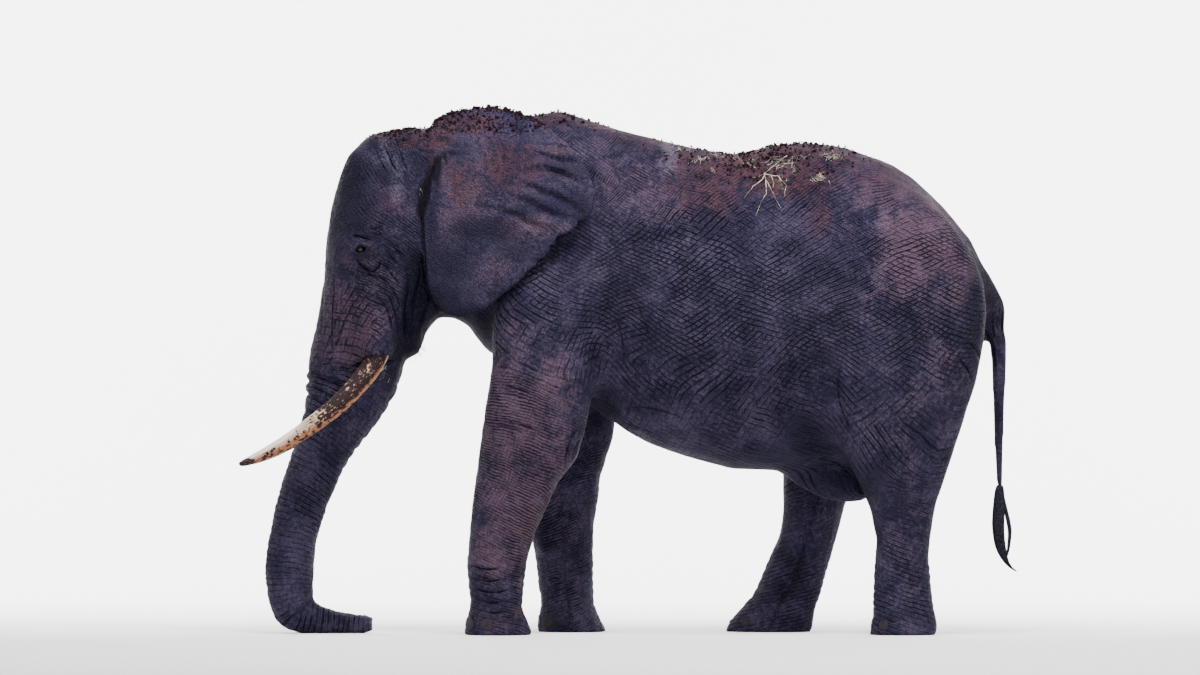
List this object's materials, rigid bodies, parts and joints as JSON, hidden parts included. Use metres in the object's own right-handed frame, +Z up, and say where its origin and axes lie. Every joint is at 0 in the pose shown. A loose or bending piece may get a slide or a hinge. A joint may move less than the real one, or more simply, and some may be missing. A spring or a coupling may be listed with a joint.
{
  "type": "african savanna elephant, adult bull",
  "caption": "Still, life-size adult savanna elephant bull, standing with its head low and its trunk laid on the ground.",
  "frame": {"origin": "on the ground, under the middle of the animal's bounding box", "axes": "+X from the head towards the tail, so the animal faces -X; +Y towards its right side; +Z up"},
  "size_m": [4.922, 1.2858, 3.3291],
  "materials": {
    "hide": "matt, wrinkled, dusted with red-brown soil",
    "ivory": "worn ivory, stained dark in streaks",
    "toenail": "horn, scuffed and dusty",
    "eye": "wet",
    "tail_hair": "coarse dark hair"
  },
  "bodies": {
    "root": {"ear_left": "hide", "ear_right": "hide", "eye_left": "eye", "eye_right": "eye", "forefoot_left": "hide", "forefoot_right": "hide", "foreleg_left": "hide", "foreleg_right": "hide", "head": "hide", "hindfoot_left": "hide", "hindfoot_right": "hide", "hindleg_left": "hide", "hindleg_right": "hide", "jaw": "hide", "nail_forefoot_left_1": "toenail", "nail_forefoot_left_2": "toenail", "nail_forefoot_left_3": "toenail", "nail_forefoot_left_4": "toenail", "nail_forefoot_right_1": "toenail", "nail_forefoot_right_2": "toenail", "nail_forefoot_right_3": "toenail", "nail_forefoot_right_4": "toenail", "nail_hindfoot_left_1": "toenail", "nail_hindfoot_left_2": "toenail", "nail_hindfoot_left_3": "toenail", "nail_hindfoot_right_1": "toenail", "nail_hindfoot_right_2": "toenail", "nail_hindfoot_right_3": "toenail", "neck": "hide", "tail_lower": "hide", "tail_tuft": "tail_hair", "tail_upper": "hide", "torso": "hide", "trunk_base": "hide", "trunk_lower": "hide", "trunk_middle": "hide", "trunk_tip": "hide", "tusk_left": "ivory", "tusk_right": "ivory"}
  },
  "joints": []
}
